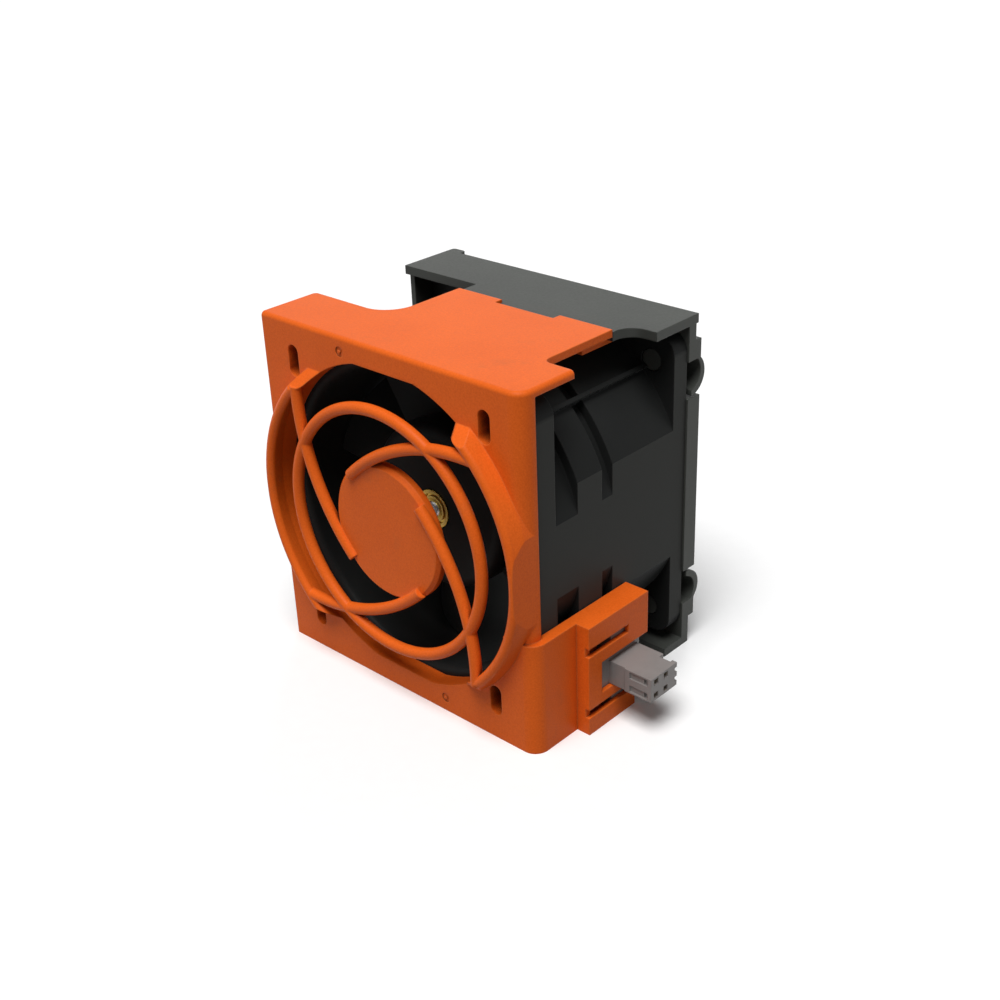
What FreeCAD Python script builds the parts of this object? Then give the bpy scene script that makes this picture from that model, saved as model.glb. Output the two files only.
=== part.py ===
import FreeCAD, Part
import math
import os
from types import SimpleNamespace

import Sketcher
from FreeCAD import Placement, Rotation, Vector

# A hot-plug fan module of a rack server: an orange guard cover, a square axial fan with its brushless motor,
# a rear frame with leaf springs and a floating connector.
# X runs across the module, Y from front to back along the air flow, Z up. The origin lies on the underside,
# below the middle of the rotor axis. Each piece is drawn about the rotor axis and then lifted to its height.

# Driving sizes: millimetres, degrees and counts.
SIZES = {
    # fan frame
    "fan_width": 60.0,
    "fan_depth": 41.0,
    "fan_corner": 3.5,
    "fan_base_gap": 3.9,
    "fan_top_gap": 3.5,
    "front_flange_thickness": 5.4,
    "rear_flange_thickness": 3.7,
    "duct_margin": 1.6,
    "duct_wall": 2.4,
    "duct_mouth": 1.4,
    "hoop_reach": 1.8,
    "hoop_front": 11.0,
    "hoop_width": 6.4,
    "band_front": 20.2,
    "screw_inset": 5.0,
    "screw_hole_radius": 2.15,
    "corner_rib_reach": 1.2,
    "corner_rib_thickness": 0.8,
    # motor base and its struts
    "base_radius": 16.4,
    "base_wall": 1.3,
    "base_plate": 1.8,
    "base_recess": 1.6,
    "base_gap": 0.8,
    "base_boss_radius": 7.4,
    "base_boss_front": 33.0,
    "strut_count": 5,
    "strut_thickness": 1.8,
    "strut_depth": 7.0,
    # guard cover
    "guard_side_margin": 1.0,
    "guard_plate": 3.4,
    "guard_top_round": 0.8,
    "guard_wall": 1.4,
    "guard_edge_round": 2.8,
    "block_depth": 12.8,
    "block_round": 0.8,
    "scoop_width": 19.6,
    "notch_width": 6.6,
    "tab_depth": 30.6,
    "scoop_radius": 6.0,
    "notch_radius": 1.6,
    "tongue_left": 0.8,
    "tongue_right": 12.8,
    "tongue_depth": 1.8,
    "ledge_thickness": 1.1,
    "ledge_reach": 2.8,
    "ledge_inset": 2.0,
    "opening_margin": 0.2,
    "opening_flat_depth": 0.9,
    "slot_inset_across": 6.9,
    "slot_inset_up": 4.0,
    "slot_width": 2.6,
    "slot_length": 6.0,
    "snap_pin_radius": 2.0,
    "snap_barb_reach": 0.45,
    "snap_barb_length": 0.9,
    "gate_mark_radius": 0.9,
    "gate_mark_depth": 0.2,
    "gate_nub_radius": 0.35,
    "gate_nub_height": 0.3,
    "gate_mark_across": 10.5,
    "gate_mark_inset": 2.8,
    # spiral finger guard
    "collar_height": 3.25,
    "collar_crest": 2.0,
    "collar_lean": 0.6,
    "collar_angle": 116.0,
    "collar_long_taper": 3.6,
    "collar_short_taper": 2.2,
    "collar_short_end": 0.5,
    "collar_foot": 0.5,
    "rod_radius": 1.1,
    "rod_lift": 2.1,
    "ring_radius": 23.1,
    "arm_count": 4,
    "arm_radius": 41.6,
    "arm_root_depth": 0.4,
    "arm_overlap": 1.0,
    "arm_end_angle": 179.0,
    "arm_dip": 0.3,
    "disc_radius": 13.0,
    "disc_thickness": 1.9,
    "disc_set_forward": 2.0,
    "disc_bevel": 0.7,
    # connector bracket on the guard's right side
    "bracket_side_gap": 0.2,
    "bracket_height": 22.0,
    "bracket_arm_thickness": 2.2,
    "holder_start": 10.8,
    "holder_length": 16.4,
    "holder_thickness": 5.0,
    "holder_inner_wall": 0.7,
    "holder_outer_wall": 0.9,
    "holder_edge": 1.2,
    "holder_top_wall": 2.2,
    "holder_top_bar": 8.4,
    "holder_bottom_bar": 7.2,
    "holder_bottom_cut": 3.6,
    "holder_gate_wall": 2.3,
    "holder_slot_height": 1.7,
    "holder_slot_length": 10.9,
    "upper_slot_drop": 4.2,
    "lower_slot_rise": 3.5,
    "stop_length": 0.5,
    "stop_height": 2.0,
    # connector
    "float_travel": 0.6,
    "float_clearance": 0.1,
    "plug_side_gap": 2.7,
    "plug_width": 8.0,
    "plug_rise": 0.2,
    "plug_height": 4.7,
    "plug_reach": 8.6,
    "plug_step": 1.2,
    "plug_step_length": 3.4,
    "plug_panel_length": 5.8,
    "plug_panel_proud": 0.25,
    "plug_bar_margin": 0.8,
    "plug_ear_set_back": 1.0,
    "plug_flange_clearance": 0.1,
    "contact_pitch": 2.75,
    "contact_inset": 1.45,
    "contact_columns": 2,
    "contact_rows": 2,
    "contact_hole": 1.2,
    "contact_clearance": 0.02,
    "contact_recess": 0.9,
    "plug_window_length": 3.9,
    "plug_window_height": 1.3,
    "plug_window_depth": 0.3,
    "plug_window_set_back": 0.8,
    "plug_catch_length": 0.9,
    "plug_catch_depth": 0.6,
    "plug_tooth_length": 1.0,
    "plug_tooth_reach": 0.6,
    # rear frame
    "frame_side_margin": 0.4,
    "frame_step_down": 0.5,
    "frame_plate": 2.0,
    "frame_opening_margin": 0.4,
    "frame_lip_thickness": 1.7,
    "frame_lip_depth": 9.4,
    "frame_lip_overhang": 0.6,
    "frame_bottom_lip_depth": 5.4,
    "frame_lap_gap": 0.1,
    "frame_scallop_radius": 3.6,
    "hook_thickness": 1.2,
    "hook_set_back": 1.2,
    "hook_drop": 8.0,
    "frame_pad_height": 35.0,
    "frame_pad_thickness": 1.5,
    "frame_pin_radius": 2.0,
    "frame_pin_end_gap": 0.2,
    "frame_ear_width": 3.4,
    "frame_ear_reach": 1.6,
    "spring_width": 5.0,
    "spring_reach": 7.1,
    "spring_root_height": 3.6,
    "spring_stand_off": 1.6,
    "spring_leaf": 1.0,
    "spring_tip_pad_gap": 0.5,
    "spring_tip_depth": 1.0,
    "spring_bow": 3.8,
    "spring_notch_gap": 0.6,
    # rotor
    "hub_setback": 6.6,
    "hub_depth": 23.4,
    "hub_radius": 16.0,
    "hub_wall": 1.2,
    "hub_web": 1.6,
    "hub_round": 2.2,
    "blade_count": 7,
    "blade_tip_gap": 0.7,
    "blade_front_inset": 1.0,
    "blade_rear_inset": 0.4,
    "blade_root_shift": 6.0,
    "blade_tip_shift": 10.6,
    "blade_root_thickness": 1.9,
    "blade_tip_thickness": 1.2,
    "blade_edge_thickness": 0.6,
    "blade_bow": 26.0,
    "boss_radius": 3.7,
    "boss_groove_radius": 3.0,
    "boss_ring_radius": 2.5,
    "boss_groove_depth": 0.6,
    "boss_length": 4.2,
    "boss_proud": 0.2,
    "shaft_radius": 1.5,
    "shaft_proud": 0.5,
    "shaft_length": 30.6,
    "yoke_wall": 0.9,
    "yoke_length": 21.6,
    "magnet_wall": 1.85,
    "magnet_front": 14.0,
    "magnet_length": 15.4,
    "seat_clearance": 0.02,
    # bearings
    "bearing_radius": 4.0,
    "bearing_width": 4.0,
    "bearing_pitch_radius": 2.75,
    "ball_radius": 0.75,
    "ball_count": 7,
    "race_clearance": 0.1,
    "race_shoulder": 0.4,
    "cage_thickness": 0.5,
    "cage_half_width": 0.3,
    "front_bearing_front": 12.0,
    "rear_bearing_front": 31.4,
    "tube_wall": 1.0,
    "tube_front": 11.4,
    "tube_step": 0.7,
    "spring_washer_thickness": 0.35,
    "spring_washer_radius": 3.6,
    "clip_radius": 2.6,
    "clip_thickness": 0.45,
    "clip_seat": 0.35,
    "clip_angle": 300.0,
    # stator
    "core_front": 17.0,
    "core_length": 10.0,
    "core_hub_wall": 1.9,
    "core_air_gap": 0.5,
    "core_shoe": 1.6,
    "core_slot": 2.2,
    "tooth_count": 4,
    "tooth_width": 3.2,
    "insulator_thickness": 0.8,
    "coil_wall": 1.35,
    "coil_clearance": 0.05,
    "coil_margin": 0.25,
    "post_radius": 0.35,
    "post_circle": 6.3,
    "board_thickness": 1.4,
    "board_clearance": 0.5,
    "chip_length": 5.0,
    "chip_width": 4.0,
    "chip_thickness": 1.4,
    "chip_circle": 10.6,
    "sensor_length": 3.0,
    "sensor_width": 1.2,
    "sensor_circle": 12.6,
    "sensor_magnet_gap": 0.4,
    "capacitor_radius": 2.0,
    "capacitor_length": 3.8,
    "capacitor_circle": 11.4,
    "resistor_length": 1.6,
    "resistor_width": 0.8,
    "resistor_thickness": 0.5,
    "resistor_circle": 11.6,
    "resistor_count": 6,
    "resistor_spacing": 16.0,
}

doc = FreeCAD.newDocument("fan_module")
sheet = doc.addObject("Spreadsheet::Sheet", "Sizes")
for row, (alias, number) in enumerate(SIZES.items(), start=1):
    sheet.set("A%d" % row, alias)
    sheet.set("B%d" % row, str(number))
    sheet.setAlias("B%d" % row, alias)
doc.recompute()


class Size:
    """A value together with the sheet formula that gives it."""

    def __init__(self, value, formula):
        self.value = float(value)
        self.formula = formula

    def join(self, sign, other, value):
        return Size(value, "(%s %s %s)" % (self.formula, sign, other.formula))

    def __add__(self, other):
        other = as_size(other)
        return self.join("+", other, self.value + other.value)

    def __sub__(self, other):
        other = as_size(other)
        return self.join("-", other, self.value - other.value)

    def __mul__(self, other):
        other = as_size(other)
        return self.join("*", other, self.value * other.value)

    def __truediv__(self, other):
        other = as_size(other)
        return self.join("/", other, self.value / other.value)

    def __neg__(self):
        return Size(-self.value, "(0 - %s)" % self.formula)


def as_size(number):
    if isinstance(number, Size):
        return number
    return Size(number, "(%r)" % float(number))


def root(size):
    return Size(math.sqrt(size.value), "sqrt(%s)" % size.formula)


def cosine(angle):
    return Size(math.cos(math.radians(angle.value)), "cos(%s)" % angle.formula)


def sine(angle):
    return Size(math.sin(math.radians(angle.value)), "sin(%s)" % angle.formula)


def arc_cosine(size):
    """The angle in plain degrees."""
    return Size(math.degrees(math.acos(size.value)), "(acos(%s) / 1 deg)" % size.formula)


dim = SimpleNamespace(**{alias: Size(number, "Sizes." + alias) for alias, number in SIZES.items()})
zero = as_size(0)

# Places along the air flow, counted from the middle of the fan.
fan_front = -dim.fan_depth / 2
fan_rear = dim.fan_depth / 2
guard_front = fan_front - dim.guard_plate
hub_face = fan_front + dim.hub_setback
hub_open_end = hub_face + dim.hub_depth
board_rear = fan_front + dim.base_boss_front
board_front = board_rear - dim.board_thickness
base_rear = fan_rear - dim.base_recess
base_floor = base_rear - dim.base_plate

# Heights, counted from the rotor axis: the guard and the rear frame stand below the fan and above it.
half_fan = dim.fan_width / 2
axis_height = half_fan + dim.fan_base_gap
guard_bottom = -axis_height
guard_top = half_fan + dim.fan_top_gap
frame_bottom = guard_bottom
frame_top = guard_top - dim.frame_step_down

# Radii of the motor, from the hub inwards.
yoke_radius = dim.hub_radius - dim.hub_wall - dim.seat_clearance
yoke_bore = yoke_radius - dim.yoke_wall
magnet_radius = yoke_bore - dim.seat_clearance
magnet_bore = magnet_radius - dim.magnet_wall
core_radius = magnet_bore - dim.core_air_gap
tube_radius = dim.bearing_radius + dim.seat_clearance + dim.tube_wall
core_bore = tube_radius + dim.seat_clearance
core_hub_radius = core_bore + dim.core_hub_wall
shoe_bore = core_radius - dim.core_shoe
core_rear = fan_front + dim.core_front + dim.core_length
core_middle = fan_front + dim.core_front + dim.core_length / 2

# Widths and radii that follow the fan's square.
half_guard = half_fan + dim.guard_side_margin
half_frame = half_fan + dim.frame_side_margin
tab_left = half_guard - dim.scoop_width
tab_right = half_guard - dim.notch_width
screw_pitch = dim.fan_width - dim.screw_inset * 2
duct_radius = half_fan - dim.duct_margin
duct_outside = duct_radius + dim.duct_wall
hoop_radius = duct_outside + dim.hoop_reach
blade_tip_radius = duct_radius - dim.blade_tip_gap
opening_radius = half_fan + dim.opening_margin
opening_flat = opening_radius - dim.opening_flat_depth

# The sign that turns a plane's own normal into the positive axis.
PLANE_SIGN = {"XY_Plane": 1, "YZ_Plane": 1, "XZ_Plane": -1}

pieces = []


def new_body(label):
    """An empty body on the rotor axis, which becomes the piece of that name."""
    body = doc.addObject("PartDesign::Body", label)
    body.Label = label
    body.Placement = Placement(Vector(0, 0, axis_height.value), Rotation())
    body.setExpression("Placement.Base.z", axis_height.formula)
    pieces.append(body)
    return body


def origin_feature(body, role):
    return next(feature for feature in body.Origin.OriginFeatures if feature.Role == role)


def bind(thing, name, size):
    whole = isinstance(getattr(thing, name), int)
    setattr(thing, name, int(size.value) if whole else size.value)
    thing.setExpression(name, size.formula)


def new_sketch(body, name, plane, level=zero):
    """A sketch parallel to an origin plane, at a level along the axis that plane faces."""
    sketch = body.newObject("Sketcher::SketchObject", name)
    sketch.AttachmentSupport = (origin_feature(body, plane), [""])
    sketch.MapMode = "FlatFace"
    offset = level * PLANE_SIGN[plane]
    sketch.AttachmentOffset = Placement(Vector(0, 0, offset.value), Rotation())
    sketch.setExpression("AttachmentOffset.Base.z", offset.formula)
    return sketch


def constrain(sketch, size, *words):
    index = sketch.addConstraint(Sketcher.Constraint(*words, size.value))
    sketch.setExpression("Constraints[%d]" % index, size.formula)


def fix_point(sketch, edge, end, across, up):
    constrain(sketch, across, "DistanceX", -1, 1, edge, end)
    constrain(sketch, up, "DistanceY", -1, 1, edge, end)


def arc_between(start, finish, radius, clockwise):
    """The lesser arc of that radius between two points, or a half circle if no radius is given."""
    first, last = (finish, start) if clockwise else (start, finish)
    chord = last - first
    half = chord.Length / 2
    reach = radius.value if radius else half
    left = Vector(-chord.y, chord.x, 0).normalize()
    centre = first + chord / 2 + left * math.sqrt(reach * reach - half * half)
    from_angle = math.atan2(first.y - centre.y, first.x - centre.x)
    to_angle = math.atan2(last.y - centre.y, last.x - centre.x)
    circle = Part.Circle(centre, Vector(0, 0, 1), reach)
    return Part.ArcOfCircle(circle, from_angle, to_angle)


def draw_outline(sketch, corners, arcs=None):
    """A closed outline through (across, up) corners.

    arcs gives the edges that aren't straight: edge number to (radius, whether it runs clockwise).
    A radius of None makes a half circle.
    """
    arcs = arcs or {}
    count = len(corners)
    points = [Vector(across.value, up.value, 0) for across, up in corners]
    ends = []
    for number in range(count):
        start, finish = points[number], points[(number + 1) % count]
        if number in arcs:
            radius, clockwise = arcs[number]
            edge = sketch.addGeometry(arc_between(start, finish, radius, clockwise))
            ends.append((edge, 2, 1) if clockwise else (edge, 1, 2))
        else:
            edge = sketch.addGeometry(Part.LineSegment(start, finish))
            ends.append((edge, 1, 2))
    for number in range(count):
        edge, start_end, finish_end = ends[number]
        next_edge, next_start, next_finish = ends[(number + 1) % count]
        sketch.addConstraint(Sketcher.Constraint("Coincident", edge, finish_end, next_edge, next_start))
    for number, (across, up) in enumerate(corners):
        edge, start_end, finish_end = ends[number]
        fix_point(sketch, edge, start_end, across, up)
        if number in arcs and arcs[number][0]:
            constrain(sketch, arcs[number][0], "Radius", edge)
        elif number in arcs:
            sketch.addConstraint(Sketcher.Constraint("Symmetric", edge, 1, edge, 2, edge, 3))


def draw_circle(sketch, across, up, radius):
    centre = Vector(across.value, up.value, 0)
    edge = sketch.addGeometry(Part.Circle(centre, Vector(0, 0, 1), radius.value))
    fix_point(sketch, edge, 3, across, up)
    constrain(sketch, radius, "Radius", edge)


def rectangle(left, right, bottom, top):
    return [(left, bottom), (right, bottom), (right, top), (left, top)]


def draw_slot(sketch, across, up, width, length):
    """An upright slot with round ends."""
    half = width / 2
    straight = length / 2 - half
    corners = rectangle(across - half, across + half, up - straight, up + straight)
    draw_outline(sketch, corners, {0: (None, False), 2: (None, False)})


def pad(body, sketch, length, plane, towards=1):
    """Adds the sketch's outline, drawn out along the positive axis, or the negative one."""
    feature = body.newObject("PartDesign::Pad", sketch.Name + "_pad")
    feature.Profile = sketch
    bind(feature, "Length", length)
    feature.Reversed = towards * PLANE_SIGN[plane] < 0
    return feature


def cut(body, sketch, length=None, plane=None, towards=1):
    """Takes the sketch's outline away: for a length along one axis, or right through both ways."""
    doc.recompute()
    before = body.Shape.Volume
    feature = body.newObject("PartDesign::Pocket", sketch.Name + "_cut")
    feature.Profile = sketch
    if length is None:
        feature.Type = "ThroughAll"
        feature.SideType = "Symmetric"
    else:
        bind(feature, "Length", length)
        feature.Reversed = towards * PLANE_SIGN[plane] > 0
    doc.recompute()
    if not 0 < body.Shape.Volume < before:
        raise RuntimeError("the cut %s took nothing away, or all of it" % feature.Name)
    return feature


def turn(body, sketch, angle=None):
    """Turns a profile of (radius, along) corners about the rotor axis, all round or evenly about +X."""
    feature = body.newObject("PartDesign::Revolution", sketch.Name + "_turn")
    feature.Profile = sketch
    feature.ReferenceAxis = (sketch, ["V_Axis"])
    if angle is None:
        feature.Angle = 360
    else:
        bind(feature, "Angle", angle)
        feature.Midplane = True
    return feature


def repeat_round(body, feature, count):
    """Repeats a feature evenly round the rotor axis."""
    pattern = body.newObject("PartDesign::PolarPattern", feature.Name + "_round")
    pattern.Originals = [feature]
    pattern.Axis = (origin_feature(body, "Y_Axis"), [""])
    pattern.Angle = 360
    bind(pattern, "Occurrences", count)
    body.Tip = pattern
    doc.recompute()
    return pattern


def round_edges(body, name, radius, chosen):
    """Rounds the edges of the body so far that the test picks out."""
    doc.recompute()
    base = body.Tip
    names = ["Edge%d" % number for number, edge in enumerate(base.Shape.Edges, start=1) if chosen(edge)]
    if not names:
        raise RuntimeError("no edge to round for %s" % name)
    feature = body.newObject("PartDesign::Fillet", name)
    feature.Base = (base, names)
    bind(feature, "Radius", radius)
    doc.recompute()
    return feature


def upright_edge_at(across, along):
    """Picks straight upright edges that stand at one place of the plan."""
    def chosen(edge):
        low, high = edge.BoundBox.ZMin, edge.BoundBox.ZMax
        near = abs(edge.CenterOfMass.x - across.value) < 0.01 and abs(edge.CenterOfMass.y - along.value) < 0.01
        return near and high - low > 0.1
    return chosen


def turned_piece(label, corners, arcs=None):
    """A piece turned from one profile of (radius, along) corners."""
    body = new_body(label)
    sketch = new_sketch(body, label + "_profile", "XY_Plane")
    draw_outline(sketch, corners, arcs)
    turn(body, sketch)
    return body


def group(label, members):
    """Several equal solids that share one node."""
    compound = doc.addObject("Part::Compound", label)
    compound.Label = label
    compound.Links = members
    pieces.append(compound)
    return compound


def place(thing, x, y, z, rotation=None):
    """Puts a primitive at a place counted from the rotor axis."""
    z = z + axis_height
    thing.Placement = Placement(Vector(x.value, y.value, z.value), rotation or Rotation())
    for axis, size in (("x", x), ("y", y), ("z", z)):
        thing.setExpression("Placement.Base." + axis, size.formula)


def about_axis(degrees):
    """The turn about the rotor axis that goes anticlockwise as the front is seen."""
    return Rotation(Vector(0, -1, 0), degrees)


ALONG_AIR = Rotation(Vector(1, 0, 0), -90)


def cylinder(name, radius, length, x, y, z):
    """A cylinder that runs back along the air flow from a place."""
    solid = doc.addObject("Part::Cylinder", name)
    bind(solid, "Radius", radius)
    bind(solid, "Height", length)
    place(solid, x, y, z, ALONG_AIR)
    return solid


def box(name, size_x, size_y, size_z, x, y, z):
    """A box with its middle at x and z and its front at y."""
    solid = doc.addObject("Part::Box", name)
    bind(solid, "Length", size_x)
    bind(solid, "Width", size_y)
    bind(solid, "Height", size_z)
    place(solid, x - size_x / 2, y, z - size_z / 2)
    return solid


def wall_outline(tongue):
    """Plan of the guard's top or bottom wall: two corner blocks and a tab, with room for the rear tongue."""
    block = guard_front + dim.block_depth
    tab = guard_front + dim.tab_depth
    left, right = -tab_left, tab_right
    corners = [(-half_guard, guard_front), (-half_guard, block), (left, block), (left, tab)]
    if tongue:
        recess = tab - dim.tongue_depth
        corners += [(-dim.tongue_left, tab), (-dim.tongue_left, recess)]
        corners += [(dim.tongue_right, recess), (dim.tongue_right, tab)]
    corners += [(right, tab), (right, block), (half_guard, block), (half_guard, guard_front)]
    return corners


def corner_places(spacing_across, spacing_up):
    """The four corners of a rectangle about the axis."""
    return [(spacing_across * side / 2, spacing_up * level / 2) for side in (-1, 1) for level in (-1, 1)]


def make_guard_cover():
    body = new_body("guard_cover")

    plate = new_sketch(body, "plate", "XZ_Plane", guard_front)
    draw_outline(plate, rectangle(-half_guard, half_guard, guard_bottom, guard_top))
    pad(body, plate, dim.guard_plate, "XZ_Plane")

    top = new_sketch(body, "top_wall", "XY_Plane", guard_top - dim.guard_wall)
    draw_outline(top, wall_outline(True))
    pad(body, top, dim.guard_wall, "XY_Plane")
    bottom = new_sketch(body, "bottom_wall", "XY_Plane", guard_bottom)
    draw_outline(bottom, wall_outline(False))
    pad(body, bottom, dim.guard_wall, "XY_Plane")

    # The ledge hangs under the tab and laps under the rear frame's lip.
    tab_end = guard_front + dim.tab_depth
    ledge_front = tab_end - dim.ledge_reach * 2
    ledge_rear = tab_end + dim.ledge_reach
    riser_rear = tab_end - dim.tongue_depth
    ledge_top = frame_top - dim.frame_lip_thickness - dim.frame_lap_gap
    ledge_bottom = ledge_top - dim.ledge_thickness
    inside_wall = guard_top - dim.guard_wall / 2
    ledge = new_sketch(body, "ledge", "YZ_Plane", dim.ledge_inset - tab_left)
    draw_outline(ledge, [(ledge_front, ledge_bottom), (ledge_rear, ledge_bottom), (ledge_rear, ledge_top),
                         (riser_rear, ledge_top), (riser_rear, inside_wall), (ledge_front, inside_wall)])
    pad(body, ledge, tab_left + tab_right - dim.ledge_inset * 2, "YZ_Plane")

    # Finger scoop beside the tab, the notch on its other side and the rounded block corner.
    block = guard_front + dim.block_depth
    round_edges(body, "scoop", dim.scoop_radius, upright_edge_at(-tab_left, block))
    round_edges(body, "notch", dim.notch_radius, upright_edge_at(tab_right, block))
    round_edges(body, "block_corner", dim.block_round, upright_edge_at(-half_guard, block))
    round_edges(body, "right_front_edge", dim.guard_edge_round, upright_edge_at(half_guard, guard_front))
    round_edges(body, "top_front_edge", dim.guard_top_round, top_front_edge)

    # Round opening with a flat above and below, through the plate.
    opening = new_sketch(body, "opening", "XZ_Plane", guard_front)
    half_flat = root(opening_radius * opening_radius - opening_flat * opening_flat)
    corners = [(half_flat, opening_flat), (-half_flat, opening_flat),
               (-half_flat, -opening_flat), (half_flat, -opening_flat)]
    draw_outline(opening, corners, {1: (opening_radius, False), 3: (opening_radius, False)})
    cut(body, opening, dim.guard_plate, "XZ_Plane")

    add_collars(body)
    add_spiral_guard(body)
    add_snap_pins(body)
    add_gate_marks(body)
    add_connector_bracket(body)
    return body


def top_front_edge(edge):
    box_of = edge.BoundBox
    high = abs(box_of.ZMin - guard_top.value) < 0.01 and abs(box_of.ZMax - guard_top.value) < 0.01
    front = abs(box_of.YMin - guard_front.value) < 0.01 and box_of.YMax < guard_front.value + 3
    return high and front


def add_collars(body):
    """Raised collars on the left and right of the opening, that carry the roots of the spiral arms.

    Each has a round crest along the opening and a sloped outside, with its foot in the plate's rounded edge.
    """
    crest_bore = opening_radius - dim.collar_lean
    crest_outside = crest_bore + dim.collar_crest
    crest = guard_front - dim.collar_height + dim.collar_crest / 2
    foot = crest_outside + dim.collar_foot
    inside_plate = guard_front + dim.guard_edge_round
    profile = new_sketch(body, "collar", "XY_Plane")
    corners = [(opening_radius, inside_plate), (opening_radius, guard_front), (crest_bore, crest),
               (crest_outside, crest), (foot, guard_front), (foot, inside_plate)]
    draw_outline(profile, corners, {2: (None, False)})
    repeat_round(body, turn(body, profile, dim.collar_angle), as_size(2))

    # Both ends of each collar slope down to the plate: a long, gentle end and a short, blunt one.
    # The collars stop flush with the plate's sides.
    clear = guard_front - dim.collar_height * 2
    long_end = opening_radius * sine(dim.collar_angle / 2)
    outside = foot + dim.collar_foot
    for side in (1, -1):
        for level in (1, -1):
            blunt = side == level
            end = long_end - dim.collar_short_end if blunt else long_end
            start = end - (dim.collar_short_taper if blunt else dim.collar_long_taper)
            slope = new_sketch(body, "collar_end", "YZ_Plane")
            draw_outline(slope, [
                (guard_front, end * level), (guard_front - dim.collar_height, start * level),
                (clear, start * level), (clear, half_guard * level), (guard_front, half_guard * level)])
            cut(body, slope, outside, "YZ_Plane", side)
    trim = new_sketch(body, "side_trim", "XZ_Plane")
    draw_outline(trim, rectangle(half_guard, outside, guard_bottom, guard_top))
    draw_outline(trim, rectangle(-outside, -half_guard, guard_bottom, guard_top))
    cut(body, trim)


def add_spiral_guard(body):
    """Four round arms curl in from the collars to the centre disc, and a ring ties them together.

    Each arm is an arc whose circle touches the disc's rim from outside, so that it runs onto the disc.
    """
    rod_plane = guard_front - dim.rod_lift
    centre_angle = as_size(-45)
    reach = dim.arm_radius - dim.disc_radius + dim.arm_overlap
    centre_x = reach * cosine(centre_angle)
    centre_z = reach * sine(centre_angle)

    # From the crest of the collar to just before the arm's circle is nearest to the axis, dipping a little.
    root_radius = opening_radius + dim.arm_root_depth
    between = root_radius * root_radius - reach * reach - dim.arm_radius * dim.arm_radius
    root_angle = arc_cosine(between / (reach * dim.arm_radius * 2))
    arm = body.newObject("PartDesign::AdditiveTorus", "arm")
    bind(arm, "Radius1", dim.arm_radius)
    bind(arm, "Radius2", dim.rod_radius)
    bind(arm, "Angle3", dim.arm_end_angle - root_angle)
    heading = root_angle + centre_angle
    front_view = as_size(90) - dim.arm_dip
    arm.Placement = Placement(Vector(centre_x.value, rod_plane.value, centre_z.value),
                              about_axis(heading.value).multiply(Rotation(Vector(1, 0, 0), front_view.value)))
    spot = "vector(%s; %s; %s)" % (centre_x.formula, rod_plane.formula, centre_z.formula)
    heading_turn = "rotation(vector(0; -1; 0); %s)" % heading.formula
    view_turn = "rotation(vector(1; 0; 0); %s)" % front_view.formula
    arm.setExpression("Placement", "placement(%s; %s * %s)" % (spot, heading_turn, view_turn))
    repeat_round(body, arm, dim.arm_count)

    ring = new_sketch(body, "ring", "XY_Plane")
    draw_circle(ring, dim.ring_radius, rod_plane, dim.rod_radius)
    turn(body, ring)

    face = guard_front - dim.disc_set_forward
    back = face + dim.disc_thickness
    disc = new_sketch(body, "disc", "XY_Plane")
    draw_outline(disc, [(zero, face), (dim.disc_radius - dim.disc_bevel, face),
                        (dim.disc_radius, face + dim.disc_bevel), (dim.disc_radius, back), (zero, back)])
    turn(body, disc)


def add_snap_pins(body):
    """Pins that snap into the fan's screw holes, and the mould's slots in front of them."""
    slots = new_sketch(body, "slots", "XZ_Plane", guard_front)
    slot_spacing_across = dim.fan_width - dim.slot_inset_across * 2
    slot_spacing_up = dim.fan_width - dim.slot_inset_up * 2
    for across, up in corner_places(slot_spacing_across, slot_spacing_up):
        draw_slot(slots, across, up, dim.slot_width, dim.slot_length)
    cut(body, slots, dim.guard_plate, "XZ_Plane")

    barb_start = fan_front + dim.front_flange_thickness + dim.seat_clearance
    pins = new_sketch(body, "snap_pins", "XZ_Plane", fan_front)
    barbs = new_sketch(body, "snap_barbs", "XZ_Plane", barb_start)
    for across, up in corner_places(screw_pitch, screw_pitch):
        draw_circle(pins, across, up, dim.snap_pin_radius)
        draw_circle(barbs, across, up, dim.snap_pin_radius + dim.snap_barb_reach)
    pad(body, pins, dim.front_flange_thickness + dim.snap_barb_length, "XZ_Plane")
    pad(body, barbs, dim.snap_barb_length, "XZ_Plane")


def add_gate_marks(body):
    """Two dimples with a nub, where the plastic came into the mould."""
    places = [(-dim.gate_mark_across, guard_top - dim.gate_mark_inset),
              (dim.gate_mark_across, guard_bottom + dim.gate_mark_inset)]
    dimples = new_sketch(body, "gate_marks", "XZ_Plane", guard_front)
    nubs = new_sketch(body, "gate_nubs", "XZ_Plane", guard_front + dim.gate_mark_depth)
    for across, up in places:
        draw_circle(dimples, across, up, dim.gate_mark_radius)
        draw_circle(nubs, across, up, dim.gate_nub_radius)
    cut(body, dimples, dim.gate_mark_depth, "XZ_Plane")
    pad(body, nubs, dim.gate_nub_height, "XZ_Plane", -1)


# The connector bracket, in side view.
bracket_inside = half_fan + dim.bracket_side_gap
holder_front = guard_front + dim.holder_start
holder_rear = holder_front + dim.holder_length
holder_top = guard_bottom + dim.bracket_height
holder_outside = bracket_inside + dim.holder_thickness
lower_bar_rear = holder_rear - dim.holder_bottom_cut
channel_inside = bracket_inside + dim.holder_inner_wall
channel_outside = holder_outside - dim.holder_outer_wall
channel_front = holder_front + dim.holder_edge
channel_bottom = guard_bottom + dim.holder_edge
channel_top = holder_top - dim.holder_top_wall
stop_front = holder_rear - dim.stop_length
gate_front = holder_front + dim.holder_edge + dim.holder_gate_wall
gate_bottom = guard_bottom + dim.holder_bottom_bar
gate_top = holder_top - dim.holder_top_bar


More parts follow.
